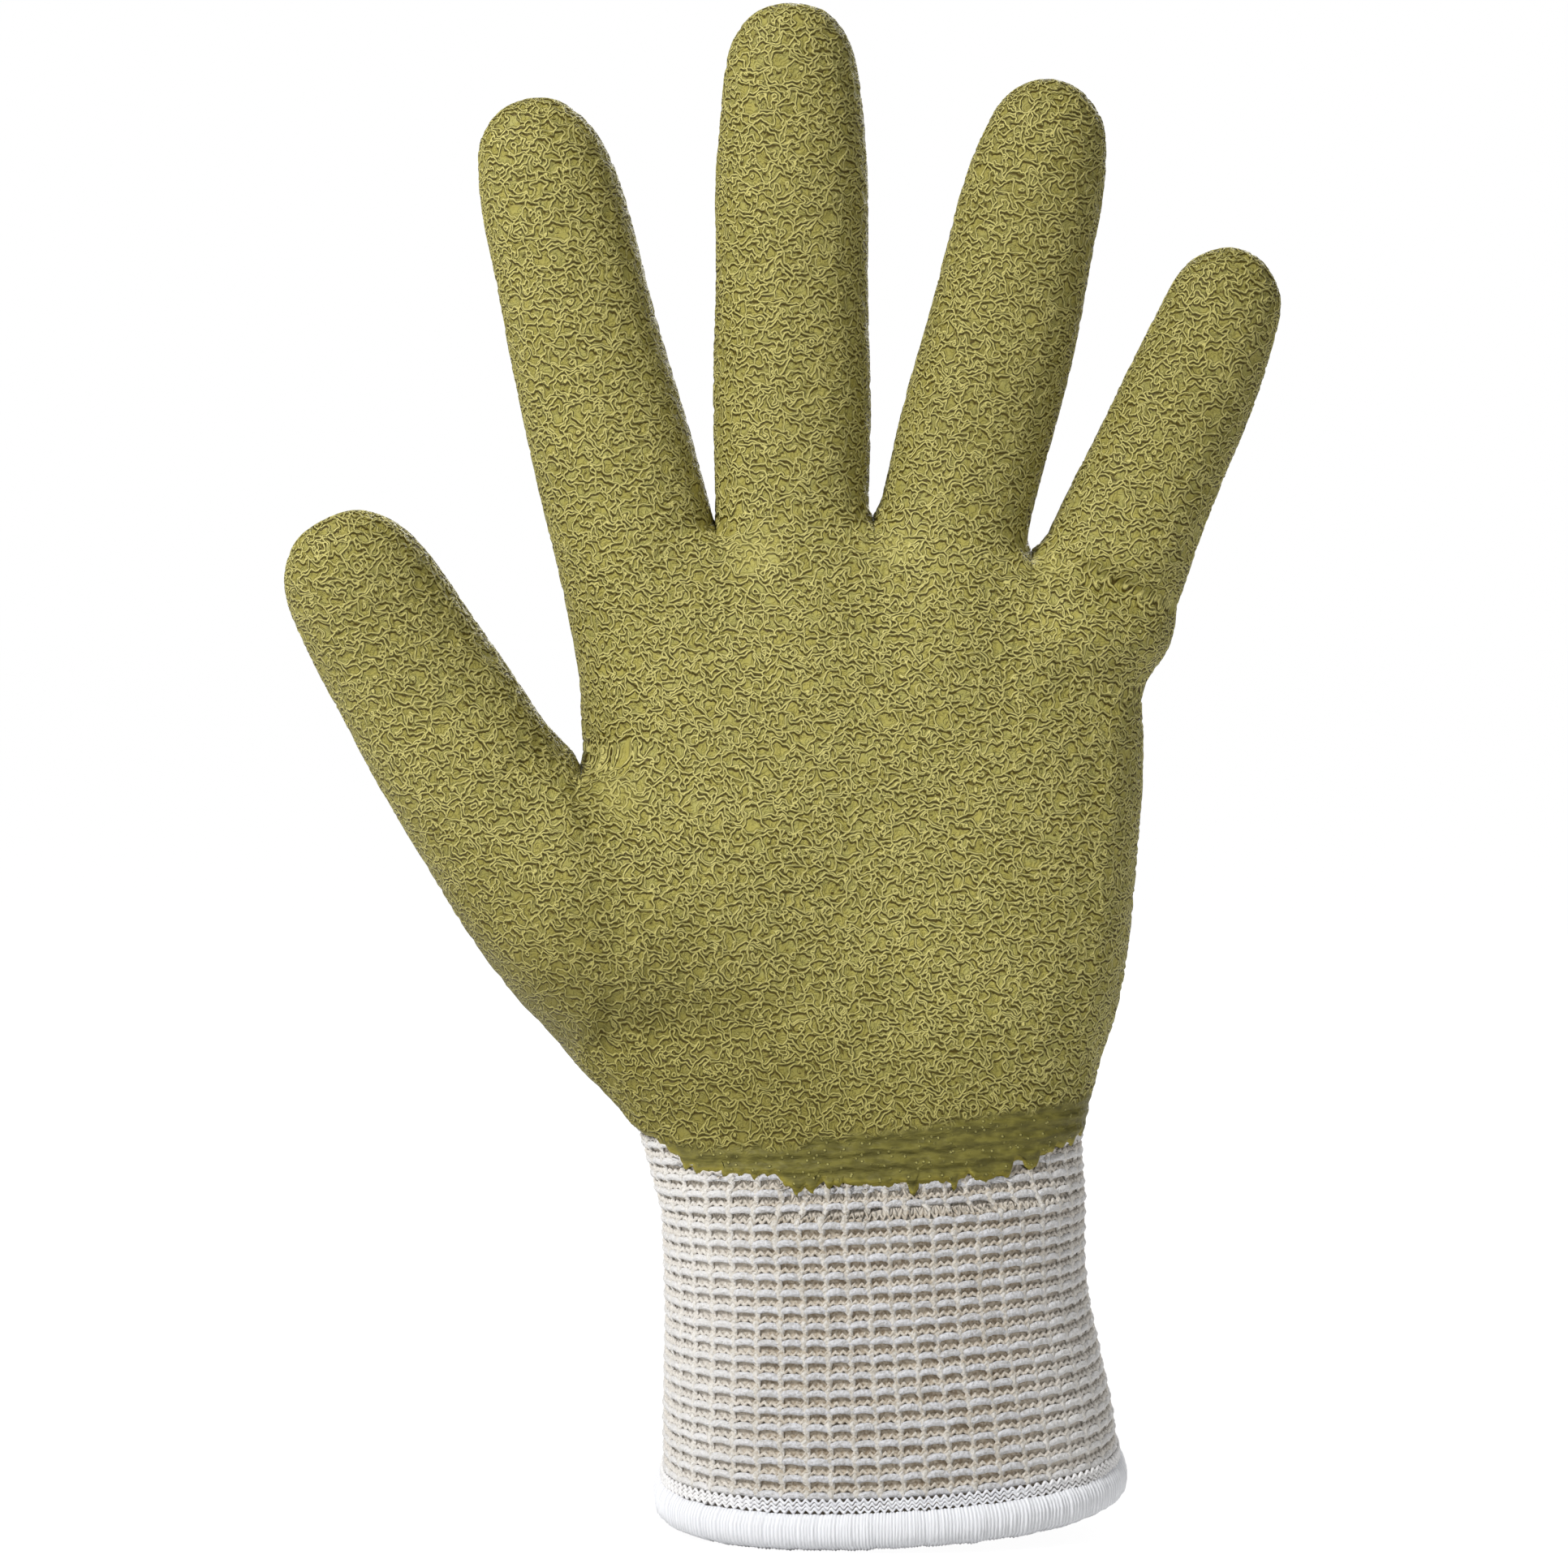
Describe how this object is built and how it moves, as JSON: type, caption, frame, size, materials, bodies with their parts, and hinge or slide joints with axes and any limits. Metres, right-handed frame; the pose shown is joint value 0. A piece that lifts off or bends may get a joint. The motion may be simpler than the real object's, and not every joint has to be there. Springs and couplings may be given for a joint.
{
  "type": "latex coated grip glove",
  "caption": "Left-hand knitted work glove with a crinkled latex palm coating and an elastic knit cuff.",
  "frame": {"origin": "centre of the cuff's mouth, where the hand goes in", "axes": "+Z from the mouth towards the fingertips, -Y out of the palm, -X towards the thumb"},
  "size_m": [0.1583, 0.0566, 0.2457],
  "materials": {
    "knit": "matte white polyester and cotton knit",
    "latex": "matte crinkled olive-green latex",
    "cuff": "matte off-white elastic knit",
    "hem": "matte white overlock thread"
  },
  "bodies": {
    "root": {"knit_palm": "knit", "index_stall": "knit", "middle_stall": "knit", "ring_stall": "knit", "little_stall": "knit", "thumb_stall": "knit", "latex_coating": "latex", "knit_cuff": "cuff", "cuff_hem": "hem"}
  },
  "joints": []
}
